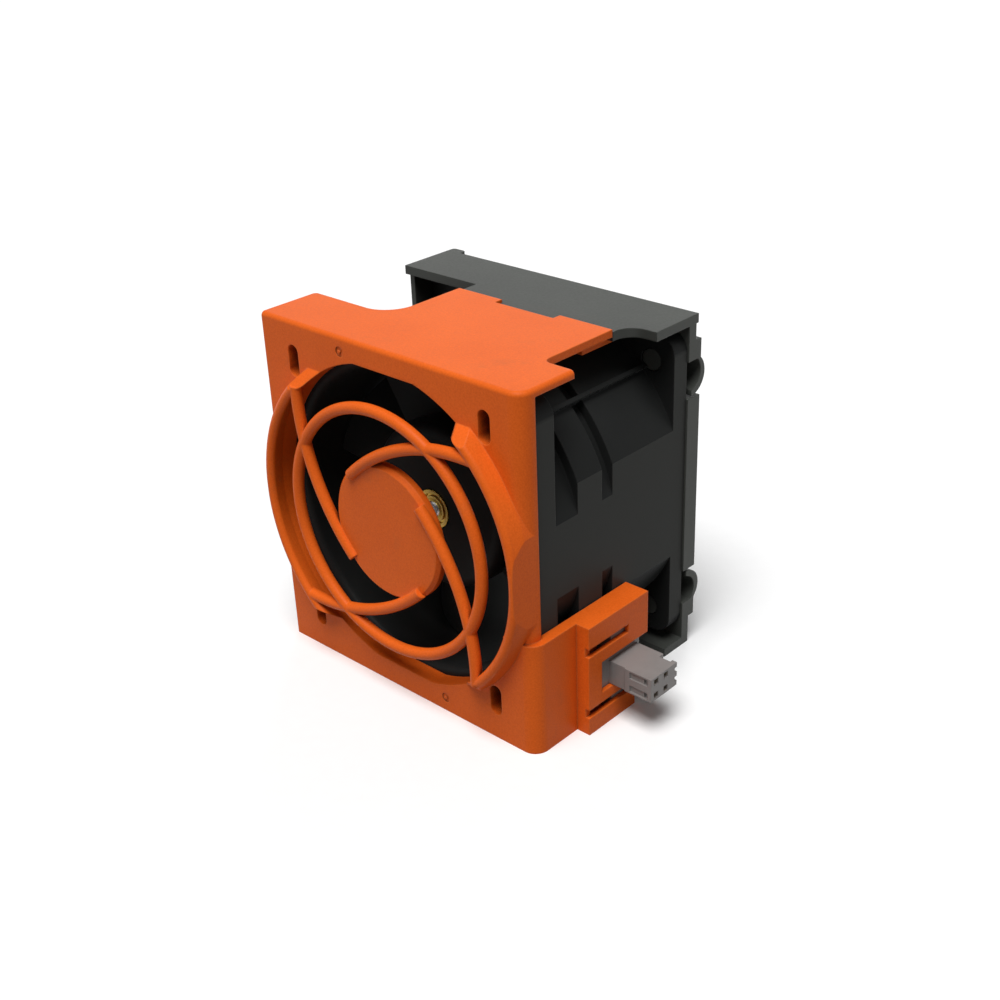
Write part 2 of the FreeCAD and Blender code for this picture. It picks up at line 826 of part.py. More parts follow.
def add_connector_bracket(body):
    """An arm along the fan's right side, and the holder in which the connector floats."""
    arm = new_sketch(body, "bracket_arm", "XY_Plane", guard_bottom)
    inside_plate = half_guard - dim.guard_edge_round * 2
    outside = bracket_inside + dim.bracket_arm_thickness
    arm_end = holder_front + dim.holder_edge
    draw_outline(arm, [(inside_plate, guard_front), (outside - dim.guard_edge_round, guard_front),
                       (outside, guard_front + dim.guard_edge_round), (outside, arm_end),
                       (bracket_inside, arm_end), (bracket_inside, fan_front), (inside_plate, fan_front)],
                 {1: (dim.guard_edge_round, False)})
    pad(body, arm, dim.bracket_height, "XY_Plane")

    holder = new_sketch(body, "holder", "YZ_Plane", bracket_inside)
    draw_outline(holder, rectangle(holder_front, holder_rear, guard_bottom, holder_top))
    pad(body, holder, dim.holder_thickness, "YZ_Plane")

    # The channel for the connector's flange, open to the rear.
    past_rear = holder_rear + dim.holder_edge
    channel = new_sketch(body, "channel", "YZ_Plane", channel_inside)
    draw_outline(channel, rectangle(channel_front, past_rear, channel_bottom, channel_top))
    cut(body, channel, channel_outside - channel_inside, "YZ_Plane")

    # The gate that the connector's housing comes out of, and two slots that run in from the holder's front.
    gate = new_sketch(body, "gate", "YZ_Plane", channel_outside)
    draw_outline(gate, rectangle(gate_front, past_rear, gate_bottom, gate_top))
    before_front = holder_front - dim.holder_edge
    slot_rear = holder_front + dim.holder_slot_length
    upper_slot = holder_top - dim.upper_slot_drop - dim.holder_slot_height
    lower_slot = guard_bottom + dim.lower_slot_rise
    for bottom in (upper_slot, lower_slot):
        draw_outline(gate, rectangle(before_front, slot_rear, bottom, bottom + dim.holder_slot_height))
    cut(body, gate, dim.holder_outer_wall, "YZ_Plane")

    lower_end = new_sketch(body, "lower_bar_end", "YZ_Plane", bracket_inside)
    draw_outline(lower_end, rectangle(lower_bar_rear, past_rear, guard_bottom, gate_bottom))
    cut(body, lower_end, dim.holder_thickness, "YZ_Plane")

    # A stop at the channel's rear end keeps the connector in.
    stop = new_sketch(body, "stop", "YZ_Plane", channel_inside)
    draw_outline(stop, rectangle(stop_front, holder_rear, channel_top - dim.stop_height, channel_top))
    pad(body, stop, channel_outside - channel_inside, "YZ_Plane")


def make_fan_frame():
    body = new_body("fan_frame")
    corner_reach = dim.fan_width * math.sqrt(0.5)
    front_flange = fan_front + dim.front_flange_thickness
    rear_flange = fan_rear - dim.rear_flange_thickness
    hoop_start = fan_front + dim.hoop_front
    hoop_end = hoop_start + dim.hoop_width
    band = fan_front + dim.band_front

    # Flanges, duct, hoop and rear band in one turned profile.
    profile = new_sketch(body, "duct", "XY_Plane")
    mouth = dim.duct_mouth
    draw_outline(profile, [
        (duct_radius, fan_front + mouth), (duct_radius + mouth, fan_front),
        (corner_reach, fan_front), (corner_reach, front_flange),
        (duct_outside, front_flange), (duct_outside, hoop_start), (hoop_radius, hoop_start),
        (hoop_radius, hoop_end), (duct_outside, hoop_end), (duct_outside, band), (hoop_radius, band),
        (hoop_radius, rear_flange), (corner_reach, rear_flange), (corner_reach, fan_rear),
        (duct_radius, fan_rear)], {0: (mouth, False)})
    turn(body, profile)

    # Everything outside the square is cut away, which leaves square flanges and hoops flush with the sides.
    square = new_sketch(body, "square", "XZ_Plane")
    outside = corner_reach + dim.fan_corner
    draw_outline(square, rectangle(-outside, outside, -outside, outside))
    draw_outline(square, rectangle(-half_fan, half_fan, -half_fan, half_fan))
    cut(body, square)
    holes = new_sketch(body, "screw_holes", "XZ_Plane")
    for across, up in corner_places(screw_pitch, screw_pitch):
        draw_circle(holes, across, up, dim.screw_hole_radius)
    cut(body, holes)
    corner_edges = [upright_along_air(x, z) for x in (-1, 1) for z in (-1, 1)]
    round_edges(body, "corners", dim.fan_corner, lambda edge: any(test(edge) for test in corner_edges))

    # A thin rib along the duct at each corner, where the four slides of the mould meet.
    rib = new_sketch(body, "corner_rib", "XZ_Plane", hoop_start)
    diagonal = cosine(as_size(45))
    foot = (duct_radius + dim.duct_wall / 2) * diagonal
    tip = (hoop_radius + dim.corner_rib_reach) * diagonal
    half = dim.corner_rib_thickness * diagonal / 2
    draw_outline(rib, [(foot + half, foot - half), (tip + half, tip - half), (tip - half, tip + half),
                       (foot - half, foot + half)])
    ridge = pad(body, rib, rear_flange - hoop_start, "XZ_Plane")
    doc.recompute()
    repeat_round(body, ridge, as_size(4))

    add_motor_base(body)
    return body


def upright_along_air(side, level):
    """Picks the long straight edges at one corner of the square."""
    def chosen(edge):
        middle = edge.CenterOfMass
        return abs(middle.x - half_fan.value * side) < 0.01 and abs(middle.z - half_fan.value * level) < 0.01
    return chosen


def add_motor_base(body):
    """The cup that carries the motor, held in the duct by struts."""
    strut = new_sketch(body, "strut", "XZ_Plane", base_rear)
    half = dim.strut_thickness / 2
    inner = dim.base_radius - dim.base_wall / 2
    outer = duct_radius + dim.duct_wall / 2
    draw_outline(strut, rectangle(inner, outer, -half, half))
    arm = pad(body, strut, dim.strut_depth, "XZ_Plane", -1)
    doc.recompute()
    repeat_round(body, arm, dim.strut_count)

    rim = hub_open_end + dim.base_gap
    rim_bore = dim.base_radius - dim.base_wall
    boss_bore = tube_radius + dim.seat_clearance
    cup = new_sketch(body, "motor_base", "XY_Plane")
    draw_outline(cup, [
        (zero, base_floor), (boss_bore, base_floor), (boss_bore, board_rear),
        (dim.base_boss_radius, board_rear), (dim.base_boss_radius, base_floor), (rim_bore, base_floor),
        (rim_bore, rim), (dim.base_radius, rim), (dim.base_radius, base_rear), (zero, base_rear)])
    turn(body, cup)


def make_rear_frame():
    body = new_body("rear_frame")
    half = half_frame
    plate_rear = fan_rear + dim.frame_plate

    plate = new_sketch(body, "rear_plate", "XZ_Plane", fan_rear)
    draw_outline(plate, rectangle(-half, half, frame_bottom, frame_top))
    pad(body, plate, dim.frame_plate, "XZ_Plane")
    pads = new_sketch(body, "rear_pads", "XZ_Plane", fan_rear)
    half_pad = dim.frame_pad_height / 2
    draw_outline(pads, rectangle(-half, half, -half_pad, half_pad))
    pad(body, pads, dim.frame_plate + dim.frame_pad_thickness, "XZ_Plane")

    # Top lip over the fan, and the tongue that meets the guard's tab.
    lip_front = fan_rear - dim.frame_lip_depth
    lip_rear = plate_rear + dim.frame_lip_overhang
    lip = new_sketch(body, "top_lip", "XY_Plane", frame_top - dim.frame_lip_thickness)
    draw_outline(lip, rectangle(-half, half, lip_front, lip_rear))
    pad(body, lip, dim.frame_lip_thickness, "XY_Plane")
    tab_end = guard_front + dim.tab_depth + dim.frame_lap_gap
    tongue_end = tab_end - dim.tongue_depth
    tongue_left = -dim.tongue_left + dim.frame_lap_gap
    tongue_right = dim.tongue_right - dim.frame_lap_gap
    tongue = new_sketch(body, "tongue", "XY_Plane", frame_top - dim.frame_lip_thickness)
    draw_outline(tongue, [
        (-tab_left, lip_rear), (-tab_left, tab_end), (tongue_left, tab_end),
        (tongue_left, tongue_end), (tongue_right, tongue_end), (tongue_right, tab_end),
        (tab_right, tab_end), (tab_right, lip_rear)])
    pad(body, tongue, dim.frame_lip_thickness, "XY_Plane")
    round_edges(body, "scallop", dim.frame_scallop_radius, upright_edge_at(tab_right, lip_front))

    # A hook under the lip's left end, in front of the fan's rear flange.
    lip_bottom = frame_top - dim.frame_lip_thickness
    flange_face = fan_rear - dim.rear_flange_thickness
    hook = new_sketch(body, "hook", "YZ_Plane", -half)
    draw_outline(hook, rectangle(lip_front + dim.hook_set_back, flange_face - dim.frame_lap_gap,
                                 lip_bottom - dim.hook_drop, lip_bottom + dim.frame_lip_thickness / 2))
    pad(body, hook, dim.hook_thickness, "YZ_Plane")

    ear = new_sketch(body, "ear", "XY_Plane", frame_top - dim.frame_lip_thickness)
    ear_rear = lip_rear + dim.frame_ear_reach
    draw_outline(ear, rectangle(-half, -half + dim.frame_ear_width, lip_rear - dim.frame_plate, ear_rear))
    pad(body, ear, dim.frame_lip_thickness, "XY_Plane")
    round_edges(body, "ear_corners", dim.frame_ear_reach / 2, lambda edge: (
        upright_edge_at(-half, ear_rear)(edge) or upright_edge_at(-half + dim.frame_ear_width, ear_rear)(edge)))

    bottom = new_sketch(body, "bottom_lip", "XY_Plane", frame_bottom)
    draw_outline(bottom, rectangle(-half, half, fan_rear - dim.frame_bottom_lip_depth, plate_rear))
    pad(body, bottom, dim.frame_lip_thickness, "XY_Plane")

    opening = new_sketch(body, "outlet", "XZ_Plane")
    draw_circle(opening, zero, zero, duct_radius + dim.frame_opening_margin)
    cut(body, opening, dim.fan_depth, "XZ_Plane", 1)

    pins = new_sketch(body, "frame_pins", "XZ_Plane", fan_rear)
    for across, up in corner_places(screw_pitch, screw_pitch):
        draw_circle(pins, across, up, dim.frame_pin_radius)
    pad(body, pins, dim.rear_flange_thickness - dim.frame_pin_end_gap, "XZ_Plane", -1)

    add_leaf_springs(body, plate_rear, half)
    return body


def add_leaf_springs(body, plate_rear, half):
    """A curled leaf near each corner of the rear plate, rooted at its outer end, and a notch to bend into."""
    half_pad = dim.frame_pad_height / 2
    root_bottom = half_pad + dim.spring_reach
    root_top = root_bottom + dim.spring_root_height
    notches = new_sketch(body, "spring_notches", "XZ_Plane", fan_rear)
    notch_inside = half - dim.spring_width - dim.spring_notch_gap
    notch_outside = half + dim.spring_notch_gap
    for side in (-1, 1):
        for level in (-1, 1):
            draw_outline(notches, rectangle(notch_inside * side, notch_outside * side,
                                            half_pad * level, root_bottom * level))
    cut(body, notches, dim.frame_plate, "XZ_Plane")

    stand = plate_rear + dim.spring_stand_off
    tip = plate_rear - dim.spring_tip_depth
    leaf = dim.spring_leaf
    root_start = plate_rear - dim.frame_plate / 2
    for side in (-1, 1):
        left = half - dim.spring_width if side > 0 else -half
        for level in (-1, 1):
            top, bottom = root_top * level, root_bottom * level
            end = half_pad + dim.spring_tip_pad_gap
            sketch = new_sketch(body, "leaf_spring", "YZ_Plane", left)
            corners = [(root_start, top), (stand, top), (stand, bottom), (tip, end * level),
                       (tip, (end + leaf) * level), (stand - leaf, bottom), (root_start, bottom)]
            outward = level > 0
            draw_outline(sketch, corners, {2: (dim.spring_bow, outward),
                                           4: (dim.spring_bow - leaf / 2, not outward)})
            pad(body, sketch, dim.spring_width, "YZ_Plane")


def make_impeller():
    body = new_body("impeller")
    web_rear = hub_face + dim.hub_web
    bore = dim.hub_radius - dim.hub_wall
    boss_hole = dim.boss_radius + dim.seat_clearance
    hub = new_sketch(body, "hub", "XY_Plane")
    rounded = dim.hub_round
    draw_outline(hub, [
        (boss_hole, hub_face), (dim.hub_radius - rounded, hub_face), (dim.hub_radius, hub_face + rounded),
        (dim.hub_radius, hub_open_end), (bore, hub_open_end), (bore, web_rear), (boss_hole, web_rear)],
        {1: (rounded, False)})
    turn(body, hub)

    # A blade is lofted outwards through three sections, from inside the hub's wall to past its tip.
    front = hub_face + dim.hub_round + dim.blade_front_inset
    rear = hub_open_end - dim.blade_rear_inset
    inner = bore + dim.hub_wall / 3
    outer = duct_radius + dim.blade_tip_gap
    middle = (inner + outer) / 2
    middle_shift = (dim.blade_root_shift + dim.blade_tip_shift) / 2
    middle_thickness = (dim.blade_root_thickness + dim.blade_tip_thickness) / 2
    sections = [
        blade_section(body, "blade_root", inner, front, rear, dim.blade_root_shift, dim.blade_root_thickness),
        blade_section(body, "blade_middle", middle, front, rear, middle_shift, middle_thickness),
        blade_section(body, "blade_tip", outer, front, rear, dim.blade_tip_shift, dim.blade_tip_thickness)]
    blade = body.newObject("PartDesign::AdditiveLoft", "blade")
    blade.Profile = sections[0]
    blade.Sections = sections[1:]
    doc.recompute()
    repeat_round(body, blade, dim.blade_count)

    tips = new_sketch(body, "tip_trim", "XZ_Plane")
    draw_circle(tips, zero, zero, outer * 2)
    draw_circle(tips, zero, zero, blade_tip_radius)
    cut(body, tips)
    return body


def blade_section(body, name, radius, front, rear, shift, thickness):
    """A bowed section across a blade: its leading edge lies in front and ahead in the turn."""
    sketch = new_sketch(body, name, "YZ_Plane", radius)
    edge = dim.blade_edge_thickness / 2
    bulge = (thickness - dim.blade_edge_thickness) * 4
    corners = [(front - edge, shift - edge), (front + edge, shift + edge),
               (rear + edge, -shift + edge), (rear - edge, -shift - edge)]
    draw_outline(sketch, corners, {1: (dim.blade_bow + bulge, False), 3: (dim.blade_bow - bulge, True)})
    return sketch


def make_rotor_inside():
    """Brass boss, shaft, yoke and magnet, which turn with the impeller."""
    face = hub_face - dim.boss_proud
    groove = face + dim.boss_groove_depth
    rear = face + dim.boss_length
    bore = dim.shaft_radius + dim.seat_clearance
    turned_piece("shaft_boss", [
        (bore, face), (dim.boss_ring_radius, face), (dim.boss_ring_radius, groove),
        (dim.boss_groove_radius, groove), (dim.boss_groove_radius, face), (dim.boss_radius, face),
        (dim.boss_radius, rear), (bore, rear)])

    front = hub_face - dim.shaft_proud
    groove_front = fan_front + dim.rear_bearing_front + dim.bearing_width + dim.seat_clearance
    groove_rear = groove_front + dim.clip_thickness + dim.seat_clearance
    seat = dim.shaft_radius - dim.clip_seat
    end = front + dim.shaft_length
    bevel = dim.clip_seat / 2
    turned_piece("shaft", [
        (zero, front), (dim.shaft_radius - bevel, front), (dim.shaft_radius, front + bevel),
        (dim.shaft_radius, groove_front), (seat, groove_front), (seat, groove_rear),
        (dim.shaft_radius, groove_rear), (dim.shaft_radius, end - bevel), (dim.shaft_radius - bevel, end),
        (zero, end)])

    web_front = hub_face + dim.hub_web + dim.seat_clearance
    web_rear = web_front + dim.yoke_wall
    yoke_end = web_front + dim.yoke_length
    hole = dim.boss_radius + dim.seat_clearance
    turned_piece("rotor_yoke", [
        (hole, web_front), (yoke_radius, web_front), (yoke_radius, yoke_end), (yoke_bore, yoke_end),
        (yoke_bore, web_rear), (hole, web_rear)])

    magnet_front = fan_front + dim.magnet_front
    magnet_rear = magnet_front + dim.magnet_length
    turned_piece("rotor_magnet", rectangle(magnet_bore, magnet_radius, magnet_front, magnet_rear))

    clip = new_body("retaining_clip")
    ring = new_sketch(clip, "clip_ring", "XY_Plane")
    clip_front = groove_front + dim.seat_clearance / 2
    draw_outline(ring, rectangle(seat + dim.seat_clearance, dim.clip_radius, clip_front,
                                 clip_front + dim.clip_thickness))
    turn(clip, ring, dim.clip_angle)

    # A cupped washer between the boss and the front inner ring takes up the bearings' play.
    washer_rear = fan_front + dim.front_bearing_front - dim.seat_clearance
    washer_front = rear + dim.seat_clearance
    thick = dim.spring_washer_thickness
    turned_piece("preload_spring", [
        (bore, washer_rear - thick), (dim.spring_washer_radius, washer_front),
        (dim.spring_washer_radius, washer_front + thick), (bore, washer_rear)])


def make_bearing(name, front):
    """A small ball bearing: two grooved rings, a set of balls and the cage that spaces them."""
    rear = front + dim.bearing_width
    middle = front + dim.bearing_width / 2
    pitch = dim.bearing_pitch_radius
    groove = dim.ball_radius + dim.race_clearance
    half_groove = root(groove * groove - dim.race_shoulder * dim.race_shoulder)
    inner = pitch - dim.race_shoulder
    outer = pitch + dim.race_shoulder
    bore = dim.shaft_radius + dim.seat_clearance
    turned_piece(name + "_outer_ring", [
        (outer, front), (dim.bearing_radius, front), (dim.bearing_radius, rear), (outer, rear),
        (outer, middle + half_groove), (outer, middle - half_groove)], {4: (groove, True)})
    turned_piece(name + "_inner_ring", [
        (bore, front), (inner, front), (inner, middle - half_groove), (inner, middle + half_groove),
        (inner, rear), (bore, rear)], {2: (groove, True)})

    balls = []
    count = int(SIZES["ball_count"])
    for number in range(count):
        angle = as_size(360.0 * number / count)
        ball = doc.addObject("Part::Sphere", name + "_ball")
        bind(ball, "Radius", dim.ball_radius)
        place(ball, pitch * cosine(angle), middle, pitch * sine(angle))
        balls.append(ball)
    group(name + "_balls", balls)

    cage_front = middle + dim.ball_radius
    turned_piece(name + "_cage", rectangle(pitch - dim.cage_half_width, pitch + dim.cage_half_width,
                                           cage_front, cage_front + dim.cage_thickness))


def make_bearing_tube():
    """The tube that the bearings sit in, with a step inside between them."""
    bore = dim.bearing_radius + dim.seat_clearance
    step = bore - dim.tube_step
    front = fan_front + dim.tube_front
    step_front = fan_front + dim.front_bearing_front + dim.bearing_width + dim.seat_clearance
    step_rear = fan_front + dim.rear_bearing_front - dim.seat_clearance
    rear = base_floor - dim.seat_clearance
    turned_piece("bearing_tube", [
        (bore, front), (tube_radius, front), (tube_radius, rear), (bore, rear), (bore, step_rear),
        (step, step_rear), (step, step_front), (bore, step_front)])


def make_stator_core():
    body = new_body("stator_core")
    front = fan_front + dim.core_front
    shoes = new_sketch(body, "shoe_ring", "XZ_Plane", front)
    draw_circle(shoes, zero, zero, core_radius)
    draw_circle(shoes, zero, zero, shoe_bore)
    pad(body, shoes, dim.core_length, "XZ_Plane")

    half = dim.tooth_width / 2
    tooth = new_sketch(body, "tooth", "XZ_Plane", front)
    inside_hub = core_bore + dim.core_hub_wall / 2
    draw_outline(tooth, rectangle(inside_hub, shoe_bore + dim.core_shoe / 2, -half, half))
    neck = pad(body, tooth, dim.core_length, "XZ_Plane")
    doc.recompute()
    repeat_round(body, neck, dim.tooth_count)

    hub = new_sketch(body, "core_hub", "XZ_Plane", front)
    draw_circle(hub, zero, zero, core_hub_radius)
    draw_circle(hub, zero, zero, core_bore)
    pad(body, hub, dim.core_length, "XZ_Plane")

    # One slot between each pair of shoes, halfway between the teeth.
    slot = new_sketch(body, "shoe_slot", "XZ_Plane", front)
    between = as_size(180) / dim.tooth_count
    slot_middle = (core_radius + shoe_bore) / 2
    draw_circle(slot, slot_middle * cosine(between), slot_middle * sine(between), dim.core_slot / 2)
    gap = cut(body, slot)
    repeat_round(body, gap, dim.tooth_count)
    return body


def make_insulator(label, front):
    """A moulded cross that keeps the coils off the core's end."""
    body = new_body(label)
    ring = new_sketch(body, label + "_ring", "XZ_Plane", front)
    draw_circle(ring, zero, zero, core_hub_radius)
    draw_circle(ring, zero, zero, core_bore)
    pad(body, ring, dim.insulator_thickness, "XZ_Plane")
    half = dim.tooth_width / 2
    bar = new_sketch(body, label + "_bar", "XZ_Plane", front)
    inside_hub = core_bore + dim.core_hub_wall / 2
    draw_outline(bar, rectangle(inside_hub, core_radius - dim.core_shoe / 2, -half, half))
    arm = pad(body, bar, dim.insulator_thickness, "XZ_Plane")
    doc.recompute()
    repeat_round(body, arm, dim.tooth_count)


def make_windings():
    """One coil round each tooth, over the insulators."""
    clear = dim.coil_clearance
    inner_x = core_hub_radius + dim.coil_margin
    half_width = dim.tooth_width / 2 + clear
    coil_edge = half_width + dim.coil_wall
    depth = root(shoe_bore * shoe_bore - coil_edge * coil_edge) - dim.coil_margin - inner_x
    half_length = dim.core_length / 2 + dim.insulator_thickness + clear
    coils = []
    count = int(SIZES["tooth_count"])
    for number in range(count):
        outer = box("coil_outside", depth, (half_length + dim.coil_wall) * 2, coil_edge * 2,
                    inner_x + depth / 2, core_middle - half_length - dim.coil_wall, zero)
        inner = box("coil_inside", depth * 2, half_length * 2, half_width * 2,
                    inner_x + depth / 2, core_middle - half_length, zero)
        rounded = doc.addObject("Part::Fillet", "coil_rounded")
        rounded.Base = outer
        doc.recompute()
        long_edges = [index for index, edge in enumerate(outer.Shape.Edges, start=1)
                      if abs(edge.tangentAt(edge.FirstParameter).x) > 0.99]
        radius = dim.coil_wall.value * 0.9
        rounded.Edges = [(index, radius, radius) for index in long_edges]
        coil = doc.addObject("Part::Cut", "coil")
        coil.Base = rounded
        coil.Tool = inner
        centre = Vector(0, 0, axis_height.value)
        coil.Placement = Placement(Vector(), about_axis(360.0 * number / count), centre)
        coils.append(coil)
    group("stator_windings", coils)


def make_winding_posts():
    posts = []
    count = int(SIZES["tooth_count"])
    front = core_rear + dim.insulator_thickness
    for number in range(count):
        angle = as_size(360.0 * (number + 0.5) / count)
        across, up = dim.post_circle * cosine(angle), dim.post_circle * sine(angle)
        posts.append(cylinder("post", dim.post_radius, board_rear - front, across, front, up))
    group("winding_posts", posts)


def make_circuit_board():
    body = new_body("circuit_board")
    board = new_sketch(body, "board", "XZ_Plane", board_front)
    draw_circle(board, zero, zero, dim.base_radius - dim.base_wall - dim.board_clearance)
    draw_circle(board, zero, zero, tube_radius + dim.seat_clearance)
    count = int(SIZES["tooth_count"])
    for number in range(count):
        angle = as_size(360.0 * (number + 0.5) / count)
        draw_circle(board, dim.post_circle * cosine(angle), dim.post_circle * sine(angle),
                    dim.post_radius + dim.seat_clearance)
    pad(body, board, dim.board_thickness, "XZ_Plane")


def single(label, solid):
    solid.Label = label
    pieces.append(solid)


def make_board_parts():
    """Driver chip, position sensor, capacitor and chip resistors on the two sides of the board."""
    single("driver_chip", box("chip", dim.chip_length, dim.chip_thickness, dim.chip_width,
                              zero, board_rear, -dim.chip_circle))
    magnet_rear = fan_front + dim.magnet_front + dim.magnet_length
    sensor_front = magnet_rear + dim.sensor_magnet_gap
    single("hall_sensor", box("sensor", dim.sensor_length, board_front - sensor_front, dim.sensor_width,
                              zero, sensor_front, dim.sensor_circle))
    single("capacitor", cylinder("can", dim.capacitor_radius, dim.capacitor_length,
                                 dim.capacitor_circle, board_rear, zero))
    resistors = []
    count = int(SIZES["resistor_count"])
    first = 180.0 - SIZES["resistor_spacing"] * (count - 1) / 2
    for number in range(count):
        angle = as_size(first + SIZES["resistor_spacing"] * number)
        resistors.append(box("resistor", dim.resistor_width, dim.resistor_thickness, dim.resistor_length,
                             dim.resistor_circle * cosine(angle), board_rear,
                             dim.resistor_circle * sine(angle)))
    group("board_resistors", resistors)


# The connector at the middle of its float.
flange_front = channel_front + dim.float_travel + dim.float_clearance
flange_rear = stop_front - dim.float_travel - dim.float_clearance
plug_front = gate_front + dim.plug_side_gap
plug_rear = plug_front + dim.plug_width
plug_bottom = gate_bottom + dim.plug_rise
plug_top = plug_bottom + dim.plug_height
plug_middle = plug_bottom + dim.plug_height / 2
plug_end = holder_outside + dim.plug_reach
flange_inside = channel_inside + dim.plug_flange_clearance
flange_outside = channel_outside - dim.plug_flange_clearance


def contact_places():
    """(along, up) places of the contacts, column by column."""
    columns, rows = int(SIZES["contact_columns"]), int(SIZES["contact_rows"])
    places = []
    for column in range(columns):
        for row in range(rows):
            along = plug_front + dim.contact_inset + dim.contact_pitch * column
            up = plug_middle + dim.contact_pitch * (row - (rows - 1) / 2)
            places.append((along, up))
    return places


def make_connector():
    body = new_body("connector_shell")
    flange = new_sketch(body, "flange", "YZ_Plane", flange_inside)
    draw_outline(flange, rectangle(flange_front, flange_rear, plug_bottom - dim.plug_bar_margin,
                                   plug_top + dim.plug_bar_margin))
    pad(body, flange, flange_outside - flange_inside, "YZ_Plane")
    ears = new_sketch(body, "flange_ears", "YZ_Plane", flange_inside)
    clear = dim.plug_flange_clearance
    draw_outline(ears, rectangle(plug_front + dim.plug_ear_set_back, flange_rear, channel_bottom + clear,
                                 channel_top - clear))
    pad(body, ears, flange_outside - flange_inside, "YZ_Plane")

    # The housing in plan: a proud panel on its front side, and a step in its rear side before the end.
    housing = new_sketch(body, "housing", "XY_Plane", plug_bottom)
    panel_start = plug_end - dim.plug_panel_length
    root_front = plug_front + dim.plug_panel_proud
    step_start = plug_end - dim.plug_step_length
    end_rear = plug_rear - dim.plug_step
    draw_outline(housing, [
        (flange_inside, root_front), (panel_start, root_front), (panel_start, plug_front),
        (plug_end, plug_front), (plug_end, end_rear), (step_start, end_rear), (step_start, plug_rear),
        (flange_inside, plug_rear)])
    pad(body, housing, dim.plug_height, "XY_Plane")

    # Teeth along the end's rear edge.
    teeth = new_sketch(body, "teeth", "YZ_Plane", plug_end - dim.plug_tooth_length)
    tooth = dim.plug_height / 5
    for number in (0, 2, 4):
        bottom = plug_bottom + tooth * number
        draw_outline(teeth, rectangle(end_rear - dim.plug_tooth_reach, end_rear + dim.plug_tooth_reach,
                                      bottom, bottom + tooth))
    pad(body, teeth, dim.plug_tooth_length, "YZ_Plane")

    # Two latch windows in the panel, each with a deeper catch at its end.
    windows = new_sketch(body, "windows", "XZ_Plane", plug_front)
    catches = new_sketch(body, "catches", "XZ_Plane", plug_front)
    window_end = plug_end - dim.plug_window_set_back
    half = dim.plug_window_height / 2
    for row in (-1, 1):
        middle = plug_middle + dim.contact_pitch * row / 2
        for sketch, length in ((windows, dim.plug_window_length), (catches, dim.plug_catch_length)):
            draw_outline(sketch, rectangle(window_end - length, window_end, middle - half, middle + half))
    cut(body, windows, dim.plug_window_depth, "XZ_Plane")
    cut(body, catches, dim.plug_catch_depth, "XZ_Plane")

    holes = new_sketch(body, "contact_holes", "YZ_Plane", flange_inside)
    half = dim.contact_hole / 2
    for along, up in contact_places():
        draw_outline(holes, rectangle(along - half, along + half, up - half, up + half))
    cut(body, holes)

    contacts = []
    width = dim.contact_hole - dim.contact_clearance * 2
    start = flange_inside + dim.contact_recess
    length = plug_end - dim.contact_recess - start
    for along, up in contact_places():
        contacts.append(box("contact", length, width, width, start + length / 2, along - width / 2, up))
    group("connector_contacts", contacts)


make_guard_cover()
make_fan_frame()
make_rear_frame()
make_impeller()
make_rotor_inside()
make_bearing("front_bearing", fan_front + dim.front_bearing_front)
make_bearing("rear_bearing", fan_front + dim.rear_bearing_front)
make_bearing_tube()
make_stator_core()
make_insulator("front_insulator", fan_front + dim.core_front - dim.insulator_thickness)
make_insulator("rear_insulator", core_rear)
make_windings()
make_winding_posts()
make_circuit_board()
make_board_parts()
make_connector()

doc.recompute()
failed = [thing.Name for thing in doc.Objects if "Invalid" in thing.State or "Error" in thing.State]
failed += [piece.Label for piece in pieces if piece.Shape.isNull() or not piece.Shape.isValid()]
if failed:
    raise RuntimeError("not built: " + ", ".join(failed))

os.makedirs("parts", exist_ok=True)
for piece in pieces:
    piece.Shape.exportStep("parts/%s.step" % piece.Label)
    print("%-26s %2d solids %10.2f mm3" % (piece.Label, len(piece.Shape.Solids), piece.Shape.Volume))
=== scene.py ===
# %% [markdown]
# # A plug-in fan for a rack server
# The fan slides into a bay of a server and is pulled out again by a finger behind its orange cover. All
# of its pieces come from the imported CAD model, which stays as it is: a fixed frame with the real sizes.
# What is left for Blender is what the eye sees first, the surfaces, the light and the place of the
# camera.

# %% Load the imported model
import math

import bpy
from mathutils import Euler, Matrix, Vector


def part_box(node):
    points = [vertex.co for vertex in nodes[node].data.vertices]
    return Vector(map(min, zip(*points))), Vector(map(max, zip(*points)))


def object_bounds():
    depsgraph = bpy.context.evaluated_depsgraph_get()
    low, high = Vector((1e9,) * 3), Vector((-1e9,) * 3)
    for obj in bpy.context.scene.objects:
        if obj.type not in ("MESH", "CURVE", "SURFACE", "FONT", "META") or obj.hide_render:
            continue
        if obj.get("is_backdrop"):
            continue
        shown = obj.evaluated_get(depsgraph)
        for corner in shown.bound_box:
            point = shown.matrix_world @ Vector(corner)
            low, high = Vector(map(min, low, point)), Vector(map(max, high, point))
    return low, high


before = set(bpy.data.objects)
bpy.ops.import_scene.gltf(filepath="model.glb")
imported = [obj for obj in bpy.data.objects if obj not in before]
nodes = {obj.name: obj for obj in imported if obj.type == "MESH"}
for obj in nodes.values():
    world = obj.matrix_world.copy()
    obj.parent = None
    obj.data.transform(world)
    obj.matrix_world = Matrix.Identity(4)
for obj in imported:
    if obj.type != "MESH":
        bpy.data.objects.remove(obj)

scene = bpy.context.scene
MILLIMETRE = 0.001
cad_low, cad_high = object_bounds()
lengths = [round(length / MILLIMETRE, 1) for length in cad_high - cad_low]
print("loaded", len(nodes), "nodes, size in mm:", lengths)

# %% [markdown]
# ## Small helpers
# Colours are noted as sRGB hex values, the way a paint program shows them, but a shader works in linear
# light. One function turns the first into the second. Another adds a node to a material, sets its options
# and sockets, and links it up, so that each material below reads as a short list of what is on its
# surface. A third starts a material, with its shader and the coordinates of the piece. Scales are given
# as real sizes: a noise texture's scale is how many of its blobs fit in a metre.

